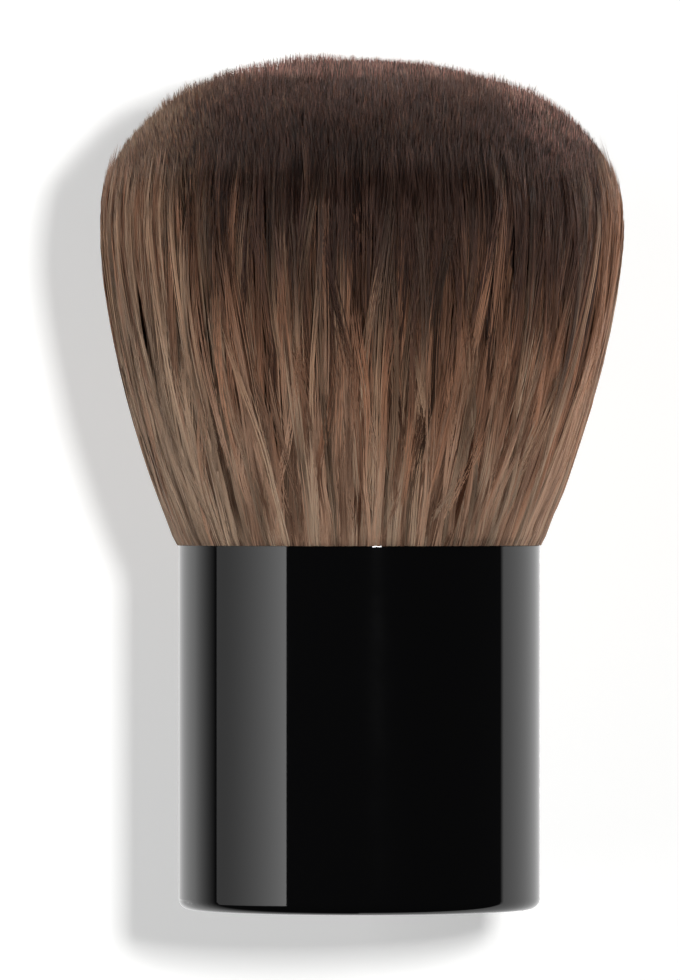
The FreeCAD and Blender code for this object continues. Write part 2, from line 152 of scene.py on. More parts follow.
def add_bump(tree, shader, source, output, strength, depth):
    """Turns a node's output into a bump of this depth on the main shader."""
    bump = add(tree, "Bump", {"Strength": strength, "Distance": depth})
    link(tree, (source, output, bump, "Height"), (bump, 0, shader, "Normal"))


def linear(red, green, blue):
    """A colour given as 0-255 screen values, as the linear colour that shaders use."""
    share = np.array([red, green, blue]) / 255
    curve = np.where(share <= 0.04045, share / 12.92, ((share + 0.055) / 1.055) ** 2.4)
    return (*curve.tolist(), 1.0)


print("a mid brown in linear values:", [round(v, 3) for v in linear(125, 100, 85)])

# %% [markdown]
# ## The pale sheet
# In the photograph the brush lies on a pale sheet and is seen from straight above. In the frame its
# axis stands along Z, so the sheet stands upright behind it, just clear of the hair. It catches the
# soft shadow to the left. It is see-through from behind, so that the brush shows in every other view,
# and it is kept out of the light's way, because the white surroundings below take over its bounce.

# %% An upright sheet that only catches the shadow
WHITE = (1, 1, 1, 1)
BRUSH_MIDDLE = np.array([0, 0, 36 * MM])
SHEET_Y = cad_high[1] + 0.8 * MM
SHEET_HALF = 130 * MM
SHEET_GLOW = 0.43


def flat_piece(name, corners):
    """One face with these four corners; its front is the side from which they run anticlockwise."""
    mesh = bpy.data.meshes.new(name)
    mesh.from_pydata([tuple(corner) for corner in corners], [], [(0, 1, 2, 3)])
    return place_object(name, mesh)


def build_sheet():
    low, high = BRUSH_MIDDLE[2] - SHEET_HALF, BRUSH_MIDDLE[2] + SHEET_HALF
    around = [(-SHEET_HALF, low), (SHEET_HALF, low), (SHEET_HALF, high), (-SHEET_HALF, high)]
    sheet = flat_piece("pale_sheet", [(x, SHEET_Y, z) for x, z in around])
    sheet.visible_diffuse = sheet.visible_glossy = False
    sheet.visible_shadow = sheet.visible_transmission = False
    return sheet


def sheet_finish():
    made, tree, shader = new_finish(
        "pale_sheet", Base_Color=(0.72, 0.72, 0.71, 1), Roughness=0.9, Specular_IOR_Level=0.0
    )
    out = tree.nodes["Material Output"]
    glow = add(tree, "Emission", {"Color": WHITE})
    path = add(tree, "LightPath")
    level = add(tree, "Math", {1: SHEET_GLOW}, operation="MULTIPLY")
    both = add(tree, "AddShader")
    clear = add(tree, "BsdfTransparent")
    side = add(tree, "NewGeometry")
    mix = add(tree, "MixShader")
    link(
        tree,
        (path, "Is Camera Ray", level, 0),
        (level, 0, glow, "Strength"),
        (shader, 0, both, 0),
        (glow, 0, both, 1),
        (side, "Backfacing", mix, "Fac"),
        (both, 0, mix, 1),
        (clear, 0, mix, 2),
        (mix, 0, out, "Surface"),
    )
    return made


pale_sheet = build_sheet()
pale_sheet.data.materials.append(sheet_finish())
print("sheet stands at y =", round(SHEET_Y / MM, 2), "mm")

# %% [markdown]
# ## White behind, dark in front
# The gloss of the barrel is a map of the room. A pale strip on its right has a sharp edge, the one on
# its left fades slowly, and both come from white surroundings behind the brush; the black middle is the
# dark room on the camera's side. One world holds all of this, by the direction that a ray goes. Camera
# rays always see plain white.

# %% The surroundings by direction
RIGHT_EDGE = (0.21, 0.27)
LEFT_FADE = (0.26, 0.65)
DARK_ROOM = 0.02


def build_world():
    world = bpy.data.worlds.new("white_behind")
    scene.world = world
    world.use_nodes = True
    tree = world.node_tree
    ground = tree.nodes["Background"]
    place = add(tree, "TexCoord")
    split = add(tree, "SeparateXYZ")
    sides = []
    for start, end in (LEFT_FADE, RIGHT_EDGE):
        levels = {"From Min": start, "From Max": end, "To Min": DARK_ROOM, "To Max": 1.0}
        step = add(tree, "MapRange", levels)
        link(tree, (split, "Y", step, "Value"))
        sides.append(step)
    on_right = add(tree, "Math", {1: 0.0}, operation="GREATER_THAN")
    mix = add(tree, "Mix")
    path = add(tree, "LightPath")
    seen = add(tree, "Math", operation="MAXIMUM")
    link(
        tree,
        (place, "Generated", split, 0),
        (split, "X", on_right, 0),
        (on_right, 0, mix, 0),
        (sides[0], 0, mix, 2),
        (sides[1], 0, mix, 3),
        (mix, 0, seen, 0),
        (path, "Is Camera Ray", seen, 1),
        (seen, 0, ground, "Strength"),
    )
    set_inputs(ground, {"Color": WHITE})


build_world()
print("the white starts at", RIGHT_EDGE, "on the right and", LEFT_FADE, "on the left")

# %% [markdown]
# ## Lamps
# The shadow falls a little to the left and down, so the main lamp stands close to the camera, to its
# right and slightly higher. It is large enough to give the shadow a soft edge. Three more lamps stand
# behind the sheet, high enough to stay out of the barrel's gloss in the camera's view. They brighten
# the sides and the crown of the hair, as the white surroundings do in the photograph.

# %% Main lamp and edge lamps
def from_camera_side(azimuth, elevation, distance):
    """A place round the brush: azimuth 0 is the camera's side, positive to the right, in degrees."""
    a, e = math.radians(azimuth), math.radians(elevation)
    way = np.array([math.sin(a) * math.cos(e), -math.cos(a) * math.cos(e), math.sin(e)])
    return BRUSH_MIDDLE + way * distance


def lamp(name, azimuth, elevation, distance, width, level):
    """A square lamp aimed at the brush; level 1 lights white paper facing it to plain white."""
    data = bpy.data.lights.new(name, "AREA")
    data.size = width
    data.energy = level * math.pi**2 * distance**2
    made = place_object(name, data)
    made.location = from_camera_side(azimuth, elevation, distance)
    way = made.location - Vector(BRUSH_MIDDLE)
    made.rotation_euler = way.to_track_quat("Z", "Y").to_euler()
    print(name, round(data.energy, 2), "W")


lamp("main_lamp", azimuth=11, elevation=5.2, distance=0.6, width=0.055, level=0.8)
lamp("left_edge_lamp", azimuth=-98, elevation=28, distance=0.5, width=0.2, level=0.85)
lamp("right_edge_lamp", azimuth=112, elevation=28, distance=0.5, width=0.2, level=0.8)
lamp("crown_lamp", azimuth=180, elevation=60, distance=0.5, width=0.2, level=0.6)

# %% [markdown]
# ## The soft box
# A tall soft box on the left draws the grey band down the barrel. In the photograph the band is
# brightest at its right edge, so the box is brightest at its front edge.

# %% A soft box that fades towards the rear
BOX_FRONT, BOX_REAR, BOX_DISTANCE = -46, -101, 0.26
BOX_LOW, BOX_HIGH = -0.12, 0.16
BOX_DIM, BOX_BRIGHT = 0.6, 3.3


def build_soft_box():
    front = from_camera_side(BOX_FRONT, 0, BOX_DISTANCE)
    rear = from_camera_side(BOX_REAR, 0, BOX_DISTANCE)
    low, high = np.array([0, 0, BOX_LOW]), np.array([0, 0, BOX_HIGH])
    box = flat_piece("soft_box", [rear + high, front + high, front + low, rear + low])
    across = box.data.uv_layers.new(name="across")
    for place, way in zip(across.data, (0.0, 1.0, 1.0, 0.0)):
        place.uv = (way, 0.5)
    box.visible_camera = False
    return box


def soft_box_finish():
    made, tree, shader = new_finish("soft_box")
    tree.nodes.remove(shader)
    glow = add(tree, "Emission", {"Color": WHITE})
    across = add(tree, "UVMap", uv_map="across")
    split = add(tree, "SeparateXYZ")
    curve = add(tree, "Math", {1: 2.0}, operation="POWER")
    fade = add(tree, "MapRange", {"To Min": BOX_DIM, "To Max": BOX_BRIGHT})
    link(
        tree,
        (across, 0, split, 0),
        (split, "X", curve, 0),
        (curve, 0, fade, "Value"),
        (fade, 0, glow, "Strength"),
        (glow, 0, tree.nodes["Material Output"], "Surface"),
    )
    return made


soft_box = build_soft_box()
soft_box.data.materials.append(soft_box_finish())
print("soft box is", round((BOX_HIGH - BOX_LOW) / MM), "mm tall")

# %% [markdown]
# ## Marks of handling
# Handled lacquer is never perfectly even: fingers leave faint smudges, and cloths leave fine hairlines
# round the barrel. One node group gives both as a roughness and a height. A group has named sockets,
# so that a finish sets how strong they are, and any other handled piece could use it too.

# %% Group: handling marks
def new_group(name, inputs, outputs):
    """An empty shader group with (label, value) number inputs and (label, kind) outputs."""
    group = bpy.data.node_groups.new(name, "ShaderNodeTree")
    for label, value in inputs:
        socket = group.interface.new_socket(label, in_out="INPUT", socket_type="NodeSocketFloat")
        socket.default_value = value
    for label, kind in outputs:
        group.interface.new_socket(label, in_out="OUTPUT", socket_type="NodeSocket" + kind)
    return group, group.nodes.new("NodeGroupInput"), group.nodes.new("NodeGroupOutput")


def place_group(tree, group, **values):
    """Puts a group into a material's tree and sets its inputs."""
    return add(tree, "Group", values, node_tree=group)


def build_handling_marks():
    group, given, out = new_group(
        "handling_marks",
        [("Base Roughness", 0.1), ("Smudge", 0.05), ("Hairline", 0.02)],
        [("Roughness", "Float"), ("Height", "Float")],
    )
    place = add(group, "TexCoord")
    smudge = add(group, "TexNoise", {"Scale": 90.0, "Detail": 4.0, "Roughness": 0.6})
    soft = add(group, "MapRange", {"From Min": 0.45, "From Max": 0.75})
    squash = add(group, "Mapping", {"Scale": (300.0, 300.0, 9000.0)})
    lines = add(group, "TexNoise", {"Scale": 1.0, "Detail": 2.0})
    wear = add(group, "Math", operation="MULTIPLY_ADD")
    fine = add(group, "Math", operation="MULTIPLY_ADD")
    link(
        group,
        (place, "Object", smudge, "Vector"),
        (smudge, 0, soft, "Value"),
        (place, "Object", squash, "Vector"),
        (squash, 0, lines, "Vector"),
        (soft, 0, wear, 0),
        (given, "Smudge", wear, 1),
        (given, "Base Roughness", wear, 2),
        (lines, 0, fine, 0),
        (given, "Hairline", fine, 1),
        (wear, 0, fine, 2),
        (fine, 0, out, "Roughness"),
        (lines, 0, out, "Height"),
    )
    return group


handling_marks = build_handling_marks()
print("group:", handling_marks.name)

# %% [markdown]
# ## Black lacquer on the barrel
# The barrel is a turned sleeve under deep gloss lacquer. Its shape is right in the CAD model, so it
# stays and only gets its finish: nearly black, very smooth, with faint smudges in the gloss.

# %% Lacquer
def dress(node, finish):
    """Gives a CAD node its finish."""
    for slot in frame["nodes"][node].material_slots:
        slot.material = finish
    print(node, "is dressed in", finish.name)


def build_lacquer():
    made, tree, shader = new_finish("black_lacquer", Base_Color=(0.0018, 0.0018, 0.002, 1), IOR=1.5)
    marks = place_group(tree, handling_marks, Base_Roughness=0.03, Smudge=0.02, Hairline=0.005)
    link(tree, (marks, "Roughness", shader, "Roughness"))
    add_bump(tree, shader, marks, "Height", strength=0.004, depth=0.01 * MM)
    return made


dress("handle_sleeve", build_lacquer())

# %% [markdown]
# ## Moulded pieces
# The base cap and the hidden core are moulded. A mould leaves a fine even grain, which is a shallow
# bump with a little roughness; it is shared by both, so it is a group as well.

# %% Group: moulded grain, and the two moulded finishes
def build_moulded_grain():
    group, given, out = new_group(
        "moulded_grain",
        [("Grain Scale", 9000.0), ("Base Roughness", 0.5), ("Unevenness", 0.15)],
        [("Roughness", "Float"), ("Height", "Float"), ("Tint", "Float")],
    )
    place = add(group, "TexCoord")
    grain = add(group, "TexNoise", {"Detail": 3.0})
    flow = add(group, "TexNoise", {"Scale": 160.0, "Detail": 2.0})
    rough = add(group, "Math", operation="MULTIPLY_ADD")
    tint = add(group, "MapRange", {"To Min": 0.85, "To Max": 1.1})
    link(
        group,
        (place, "Object", grain, "Vector"),
        (given, "Grain Scale", grain, "Scale"),
        (place, "Object", flow, "Vector"),
        (flow, 0, rough, 0),
        (given, "Unevenness", rough, 1),
        (given, "Base Roughness", rough, 2),
        (flow, 0, tint, "Value"),
        (rough, 0, out, "Roughness"),
        (grain, 0, out, "Height"),
        (tint, 0, out, "Tint"),
    )
    return group


moulded_grain = build_moulded_grain()


def moulded_finish(name, colour, roughness, depth):
    made, tree, shader = new_finish(name)
    grain = place_group(tree, moulded_grain, Base_Roughness=roughness)
    shade = add(tree, "VectorMath", {0: colour}, operation="SCALE")
    link(
        tree,
        (grain, "Tint", shade, "Scale"),
        (shade, 0, shader, "Base Color"),
        (grain, "Roughness", shader, "Roughness"),
    )
    add_bump(tree, shader, grain, "Height", strength=0.3, depth=depth)
    return made


dress("base_cap", moulded_finish("black_satin_plastic", (0.012, 0.012, 0.0125), 0.38, 0.03 * MM))
dress("handle_core", moulded_finish("moulded_core", (0.72, 0.71, 0.66), 0.5, 0.04 * MM))

# %% [markdown]
# ## Turned and drawn metal
# The steel weight is turned on a lathe and the aluminium cup is drawn and trimmed, so both carry fine
# rings round the axis. The rings depend on height and on distance from the axis, which a group works
# out once for both metals.

# %% Group: turning lines, and the two metals
def build_turning_lines():
    group, given, out = new_group(
        "turning_lines",
        [("Lines Per Metre", 9000.0), ("Base Roughness", 0.3), ("Spread", 0.15)],
        [("Roughness", "Float"), ("Height", "Float")],
    )
    place = add(group, "TexCoord")
    split = add(group, "SeparateXYZ")
    flat = add(group, "CombineXYZ")
    reach = add(group, "VectorMath", operation="LENGTH")
    place_ring = add(group, "CombineXYZ")
    scaled = add(group, "VectorMath", operation="SCALE")
    rings = add(group, "TexNoise", {"Scale": 1.0, "Detail": 3.0})
    rough = add(group, "Math", operation="MULTIPLY_ADD")
    link(
        group,
        (place, "Object", split, 0),
        (split, "X", flat, "X"),
        (split, "Y", flat, "Y"),
        (flat, 0, reach, 0),
        (reach, "Value", place_ring, "X"),
        (split, "Z", place_ring, "Y"),
        (place_ring, 0, scaled, 0),
        (given, "Lines Per Metre", scaled, "Scale"),
        (scaled, 0, rings, "Vector"),
        (rings, 0, rough, 0),
        (given, "Spread", rough, 1),
        (given, "Base Roughness", rough, 2),
        (rough, 0, out, "Roughness"),
        (rings, 0, out, "Height"),
    )
    return group


turning_lines = build_turning_lines()


def metal_finish(name, colour, lines, roughness):
    made, tree, shader = new_finish(name, Base_Color=(*colour, 1), Metallic=1.0)
    rings = place_group(tree, turning_lines, Lines_Per_Metre=lines, Base_Roughness=roughness)
    link(tree, (rings, "Roughness", shader, "Roughness"))
    add_bump(tree, shader, rings, "Height", strength=0.25, depth=0.02 * MM)
    return made


dress("balance_weight", metal_finish("turned_steel", (0.5, 0.5, 0.51), 7000.0, 0.28))
dress("ferrule_cup", metal_finish("drawn_aluminium", (0.84, 0.84, 0.85), 14000.0, 0.22))

# %% [markdown]
# ## Resin and thread
# The root ends of the hair are set in amber resin, which is cloudy with tiny bubbles. The bundle is
# bound with cotton thread, whose twist shows as slanting ridges. Both are hidden in the handle, and
# show only when the model is opened.

# %% Resin and thread finishes
def add_ramp(tree, low, high):
    """A node that runs from one colour to another."""
    ramp = add(tree, "ValToRGB")
    for element, colour in zip(ramp.color_ramp.elements, (low, high)):
        element.color = colour
    return ramp


def build_resin():
    made, tree, shader = new_finish("amber_resin", Roughness=0.18, IOR=1.52)
    place = add(tree, "TexCoord")
    cloud = add(tree, "TexNoise", {"Scale": 350.0, "Detail": 3.0})
    ramp = add_ramp(tree, (0.42, 0.24, 0.07, 1), (0.66, 0.46, 0.2, 1))
    bubbles = add(tree, "TexVoronoi", {"Scale": 1500.0})
    link(
        tree,
        (place, "Object", cloud, "Vector"),
        (cloud, 0, ramp, 0),
        (ramp, 0, shader, "Base Color"),
        (place, "Object", bubbles, "Vector"),
    )
    add_bump(tree, shader, bubbles, "Distance", strength=0.2, depth=0.05 * MM)
    return made


def build_thread():
    made, tree, shader = new_finish("cotton_thread", Roughness=0.85, Sheen_Weight=0.3)
    place = add(tree, "TexCoord")
    strands = {"Scale": 700.0, "Distortion": 1.5, "Detail": 2.0}
    twist = add(tree, "TexWave", strands, bands_direction="DIAGONAL")
    ramp = add_ramp(tree, (0.55, 0.5, 0.4, 1), (0.86, 0.82, 0.72, 1))
    link(
        tree,
        (place, "Object", twist, "Vector"),
        (twist, "Fac", ramp, 0),
        (ramp, 0, shader, "Base Color"),
    )
    add_bump(tree, shader, twist, "Fac", strength=0.5, depth=0.1 * MM)
    return made


dress("epoxy_plug", build_resin())
dress("binding_thread", build_thread())

# %% [markdown]
# ## The form of the head
# The head flares out of the handle's mouth in a long side curve, turns over a round shoulder and ends
# in a shallow crown. Each hair follows the same family of curves: it keeps a share of the side curve's
# radius from the mouth to where the dome cuts it. So two functions carry the whole form: the radius of
# the side curve at a height, and the radius of the dome.

# %% Side curve, shoulder and crown
_, sleeve_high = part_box("handle_sleeve")
_, head_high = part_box("bristle_head")
ROOT_CLEARANCE = 0.1 * MM
RIM = sleeve_high[2]
CROWN = head_high[2]
HEAD_RADIUS = head_high[0]
HEAD_BASE = np.array([sleeve_high[0], RIM]) + ROOT_CLEARANCE
BELLY = RIM + 26.1 * MM
SIDE_CURVE = 77 * MM
SHOULDER_CURVE = 0.87 * (CROWN - BELLY)
SHOULDER = np.array([HEAD_RADIUS - SHOULDER_CURVE, BELLY])


def side_middle():
    """Middle of the side curve, which starts at the rim and runs smoothly into the shoulder."""
    across = SHOULDER - HEAD_BASE
    span = np.hypot(*across)
    along = (span**2 + SIDE_CURVE**2 - (SIDE_CURVE - SHOULDER_CURVE) ** 2) / (2 * span)
    off = math.sqrt(SIDE_CURVE**2 - along**2)
    way = across / span
    return HEAD_BASE + along * way + off * np.array([-way[1], way[0]])


SIDE_MIDDLE = side_middle()
SIDE_END = BELLY - SHOULDER_CURVE * (SIDE_MIDDLE[1] - BELLY) / (SIDE_CURVE - SHOULDER_CURVE)
SPARE = CROWN - BELLY - SHOULDER_CURVE
CROWN_CURVE = (SHOULDER[0] ** 2 + (CROWN - BELLY) ** 2 - SHOULDER_CURVE**2) / (2 * SPARE)
CROWN_MIDDLE = CROWN - CROWN_CURVE
CROWN_START = CROWN_MIDDLE + (BELLY - CROWN_MIDDLE) * CROWN_CURVE / (CROWN_CURVE - SHOULDER_CURVE)


def side_radius(z):
    return SIDE_MIDDLE[0] + np.sqrt(np.maximum(SIDE_CURVE**2 - (z - SIDE_MIDDLE[1]) ** 2, 0))


def dome_radius(z):
    shoulder = SHOULDER[0] + np.sqrt(np.maximum(SHOULDER_CURVE**2 - (z - BELLY) ** 2, 0))
    crown = np.sqrt(np.maximum(CROWN_CURVE**2 - (z - CROWN_MIDDLE) ** 2, 0))
    return np.where(z < CROWN_START, shoulder, crown)


print("middle of the side curve, mm:", np.round(SIDE_MIDDLE / MM, 2))
print("radius of the crown curve, mm:", round(CROWN_CURVE / MM, 1))

# %% [markdown]
# ## Where a hair ends
# A hair runs up until the dome cuts it, and the outermost ones bend in over the shoulder, which keeps
# the outline round. For each share of the radius a table finds the height of the cut. Read backwards
# and weighted by area, the same table spreads tips evenly over the dome.

# %% Tips on the dome
SHOULDER_BEND = 0.55
BENDING = (0.8, 0.2)
MOST_BEND = 3 * MM


def rise(x, start, length):
    """An even step up from 0, where x is start, to 1 a length further on."""
    way = np.clip((x - start) / length, 0, 1)
    return way * way * (3 - 2 * way)


def fall(x, end, length):
    """An even step down from 1 to 0, which takes this length and is over where x is end."""
    return rise(-x, -end, length)


def hair_radius(share, z):
    """Distance from the axis of a hair that keeps this share of the side curve."""
    side = side_radius(z)
    spare = np.where(z > SIDE_END, np.clip(side - dome_radius(z), 0, MOST_BEND), 0)
    return share * (side - SHOULDER_BEND * rise(share, *BENDING) * spare)


share_table = np.linspace(0, 1, 241)
heights = CROWN - (CROWN - SIDE_END) * np.linspace(1, 0, 800) ** 2
cuts = [hair_radius(share, heights) >= dome_radius(heights) for share in share_table]
tip_table = np.array([heights[np.argmax(cut)] for cut in cuts])


def tip_height(share):
    return np.interp(share, share_table, tip_table)


def dome_shares(part):
    """Shares of hairs by the part of the dome's area, 0 to 1, that lies below their tips."""
    radii = dome_radius(heights)
    rings = np.hypot(np.diff(radii), np.diff(heights)) * (radii[1:] + radii[:-1]) / 2
    area = np.concatenate([[0], np.cumsum(rings)])
    tops = np.interp(part * area[-1], area, heights)
    return np.interp(tops, tip_table[::-1], share_table[::-1])


print("tips on the axis and at the side, mm:", np.round(tip_height([0, 1]) / MM, 2))

# %% [markdown]
# ## A hair as a mesh
# Blender has hair curves, but a part that is handed on needs real faces. So each hair is a closed tube
# with three sides, which ends in a point at its tip and a cap at its root. All hairs of a piece are
# worked out together with arrays, which is far faster than adding them one by one. Each tube also gets
# a place on a colour chart: across the chart is the hair's kind and tone, and up the chart is the way
# from root to tip.

# %% Rings of points round each hair
SIDES = 3
STRIP = 0.01


def tube_points(paths, radii, turn):
    """Points of closed tubes round paths of shape (hairs, points, 3): rings, and the tip at the end."""
    ahead = np.gradient(paths, axis=1)
    ahead /= np.linalg.norm(ahead, axis=2, keepdims=True)
    across = np.cross(ahead, paths * np.array([1, 1, 0]) + 1e-9)
    across /= np.maximum(np.linalg.norm(across, axis=2, keepdims=True), 1e-12)
    up = np.cross(ahead, across)
    angle = turn[:, None, None] + np.arange(SIDES) * 2 * np.pi / SIDES
    ring = np.cos(angle)[..., None] * across[:, :, None] + np.sin(angle)[..., None] * up[:, :, None]
    body = paths[:, :-1, None] + ring[:, :-1] * radii[:, :-1, None, None]
    return np.concatenate([body.reshape(len(paths), -1, 3), paths[:, -1:]], 1)


def tube_faces(rings):
    """One tube's faces: their corners, how many each has, and each corner's place across its strip."""
    side, step = (grid.ravel() for grid in np.meshgrid(np.arange(SIDES), np.arange(rings - 1)))
    low, after = step * SIDES, (side + 1) % SIDES
    quads = np.stack([low + side, low + after, low + SIDES + after, low + SIDES + side], 1)
    own, last = np.arange(SIDES), (rings - 1) * SIDES
    tips = np.stack([last + own, last + (own + 1) % SIDES, np.full(SIDES, rings * SIDES)], 1)
    corners = np.concatenate([quads.ravel(), tips.ravel(), own[::-1]])
    totals = np.concatenate([np.full(len(quads), 4), np.full(SIDES + 1, 3)])
    quad_u = np.stack([side, side + 1, side + 1, side], 1) / SIDES
    tip_u = np.stack([own, own + 1, own + 0.5], 1) / SIDES
    return corners, totals, np.concatenate([quad_u.ravel(), tip_u.ravel(), [0.0, 0.5, 1.0]])


print("faces of a hair with four points:", len(tube_faces(3)[1]))

# %% A mesh of many hairs
CHART_EDGE = 0.01
CAP_RISE = 0.01


def on_chart(tone, grey):
    """Left edge of a hair's strip on the chart: the greyer kind has the right half."""
    room = 1 - 2 * CHART_EDGE - 2 * STRIP
    return 0.5 * (CHART_EDGE + np.clip(tone, 0, 1) * room + grey)


def tube_mesh(name, paths, radii, tone, grey, along, turn):
    """Closed tubes as one mesh, with their places on the colour chart as its map."""
    verts = tube_points(paths, radii, turn)
    corners, totals, across = tube_faces(paths.shape[1] - 1)
    hairs, per = verts.shape[:2]
    left, up = (
        np.concatenate([value[:, :-1].repeat(SIDES, 1), value[:, -1:]], 1)[:, corners]
        for value in (on_chart(tone, grey[:, None]), along)
    )
    up[:, -2] += CAP_RISE
    chart = np.stack([left + across * STRIP, np.clip(up, 0, 1)], 2)
    index = corners[None] + np.arange(hairs)[:, None] * per
    totals = np.tile(totals, hairs)

    mesh = bpy.data.meshes.new(name)
    mesh.vertices.add(hairs * per)
    mesh.vertices.foreach_set("co", verts.astype(np.float32).ravel())
    mesh.loops.add(index.size)
    mesh.loops.foreach_set("vertex_index", index.astype(np.int32).ravel())
    mesh.polygons.add(len(totals))
    mesh.polygons.foreach_set("loop_start", (np.cumsum(totals) - totals).astype(np.int32))
    mesh.polygons.foreach_set("use_smooth", np.ones(len(totals), bool))
    mesh.uv_layers.new(name="OFBake").data.foreach_set("uv", chart.astype(np.float32).ravel())
    mesh.update(calc_edges=True)
    mesh.validate()
    return mesh


print("points to a ring:", SIDES)

# %% [markdown]
# ## Colours along a hair
# The hair is taupe where it leaves the handle, turns a redder brown and has dark tips. On the dome the
# very ends are lighter and red, partly their own colour and partly painted glow of light shining
# through thin ends. Tone shifts all of these together, and there are two kinds of hair in the bundle, a
# red-brown and a greyer one. The chart is a node group with one socket for each choice, and three fades
# up the hair, each from a start to an end.

# %% Group: hair colour chart
ROOT_LIGHT, ROOT_DARK = linear(179, 146, 124), linear(58, 34, 22)
MID_LIGHT, MID_DARK = linear(166, 124, 100), linear(46, 25, 16)
TIP_LIGHT, TIP_DARK = linear(80, 58, 50), linear(29, 20, 17)
# Lighter red ends: partly their own colour, partly painted glow of light shining through thin ends
END_AND_GLOW_LIGHT, END_AND_GLOW_DARK = linear(208, 150, 136), linear(110, 71, 64)
REDDENING, DARKENING, RED_AND_GLOW_ENDS = (0.25, 0.66), (0.6, 0.9), (0.972, 0.998)


def build_hair_chart():
    group, given, out = new_group(
        "hair_chart",
        [("Tone", 0.5), ("Along", 0.5), ("Greyness", 0.0)],
        [("Colour", "Color"), ("Roughness", "Float")],
    )

    def by_tone(dark, light):
        mix = add(group, "Mix", {6: dark, 7: light}, data_type="RGBA")
        link(group, (given, "Tone", mix, 0))
        return mix

    def going_up(below, above, start, end):
        fade = {"From Min": start, "From Max": end}
        step = add(group, "MapRange", fade, interpolation_type="SMOOTHSTEP")
        mix = add(group, "Mix", data_type="RGBA")
        link(
            group,
            (given, "Along", step, "Value"),
            (step, 0, mix, 0),
            (below, 2, mix, 6),
            (above, 2, mix, 7),
        )
        return mix

    colour = going_up(by_tone(ROOT_DARK, ROOT_LIGHT), by_tone(MID_DARK, MID_LIGHT), *REDDENING)
    colour = going_up(colour, by_tone(TIP_DARK, TIP_LIGHT), *DARKENING)
    colour = going_up(colour, by_tone(END_AND_GLOW_DARK, END_AND_GLOW_LIGHT), *RED_AND_GLOW_ENDS)
    turn = add(group, "MapRange", {"To Min": 0.499, "To Max": 0.51})
    wash = add(group, "MapRange", {"To Min": 1.07, "To Max": 0.94})
    shift = add(group, "HueSaturation")
    gloss = add(group, "MapRange", {"To Min": 0.6, "To Max": 0.45})
    link(
        group,
        (given, "Greyness", turn, "Value"),
        (given, "Greyness", wash, "Value"),
        (turn, 0, shift, "Hue"),
        (wash, 0, shift, "Saturation"),
        (colour, 2, shift, "Color"),
        (shift, 0, out, "Colour"),
        (given, "Tone", gloss, "Value"),
        (gloss, 0, out, "Roughness"),
    )
    return group


hair_chart = build_hair_chart()
print("group:", hair_chart.name)

# %% [markdown]
# ## Hair finish
# The left half of the map holds the red-brown kind and the right half the greyer kind, each with its
# tones from dark to light. The finish reads the kind and the tone out of the map's first number.

# %% One finish for all hair
def build_hair_finish():
    made, tree, shader = new_finish(
        "brown_hair",
        IOR=1.55,
        Specular_IOR_Level=0.12,
        Subsurface_Weight=0.12,
        Subsurface_Radius=(1.0, 0.65, 0.5),
        Subsurface_Scale=0.2 * MM,
    )
    place = add(tree, "UVMap", uv_map="OFBake")
    split = add(tree, "SeparateXYZ")
    grey = add(tree, "Math", {1: 0.5}, operation="GREATER_THAN")
    double = add(tree, "Math", {1: 2.0}, operation="MULTIPLY")
    tone = add(tree, "Math", operation="SUBTRACT")
    chart = place_group(tree, hair_chart)
    link(
        tree,
        (place, 0, split, 0),
        (split, "X", grey, 0),
        (split, "X", double, 0),
        (double, 0, tone, 0),
        (grey, 0, tone, 1),
        (tone, 0, chart, "Tone"),
        (grey, 0, chart, "Greyness"),
        (split, "Y", chart, "Along"),
        (chart, "Colour", shader, "Base Color"),
        (chart, "Roughness", shader, "Roughness"),
    )
    return made


brown_hair = build_hair_finish()
print("hair finish:", brown_hair.name)

# %% [markdown]
# ## The side hairs
# The hairs on the flank are seen from the rim to their tips, so they are modelled full length. They
# come out of the mouth, bend over the rim and follow the side curve. Five points take a hair round the
# mouth, close over the rim's rounded edge, and the rest take it up the side.

# %% Heights of a side hair's points
MOUTH_LINE = np.array([(-1.9, -0.6), (-0.85, 0.12), (-0.12, 0.05), (0.15, -0.27), (0.55, 0.5)]) * MM
MOUTH_LINE += np.array([sleeve_high[0], RIM])
MOUTH_PACKING = 0.7
SIDE_POINTS = 15
ROOT_SPREAD = 0.2 * MM
SPREAD_HEIGHT = 12 * MM


def side_line(share, spare, cut):
    """Radius, height and way from root to tip, 0 to 1, of each hair's points; cut shortens a hair."""
    start = MOUTH_LINE[-1, 1]
    top = start + (tip_height(share) + spare - start) * cut[:, 0]
    steps = np.linspace(0, 1, SIDE_POINTS - len(MOUTH_LINE) + 1)[1:]
    height = start + (top[:, None] - start) * steps
    mouth = np.broadcast_to(MOUTH_LINE, (len(share), *MOUTH_LINE.shape))
    spread = ROOT_SPREAD * fall(height, RIM + SPREAD_HEIGHT, SPREAD_HEIGHT)
    side = hair_radius(share[:, None], height) + spread
    radius = np.concatenate([mouth[:, :, 0] * share[:, None] ** MOUTH_PACKING, side], 1)
    height = np.concatenate([mouth[:, :, 1], height], 1)
    return radius, height, (height - height[:, :1]) / (height[:, -1:] - height[:, :1])


print("points of a side hair:", SIDE_POINTS)

# %% [markdown]
# The dark of the tips is not even: in the photograph it is deepest in the middle and fades towards
# both sides, sooner on the left. Here that is painted side light, which lightens the tips on the left
# and right to stand in for the light on those edges, and leaves the far side dark. A function of the
# place from left to right holds that, and others say how many hairs are greyer and how light they are.
# Each pair of numbers is where a change starts or is over, in millimetres, and how long it takes. The
# head also sits a little right of the handle's axis.

# %% Painted side light and the lean of the head
HEAD_LEAN = 0.23 * MM
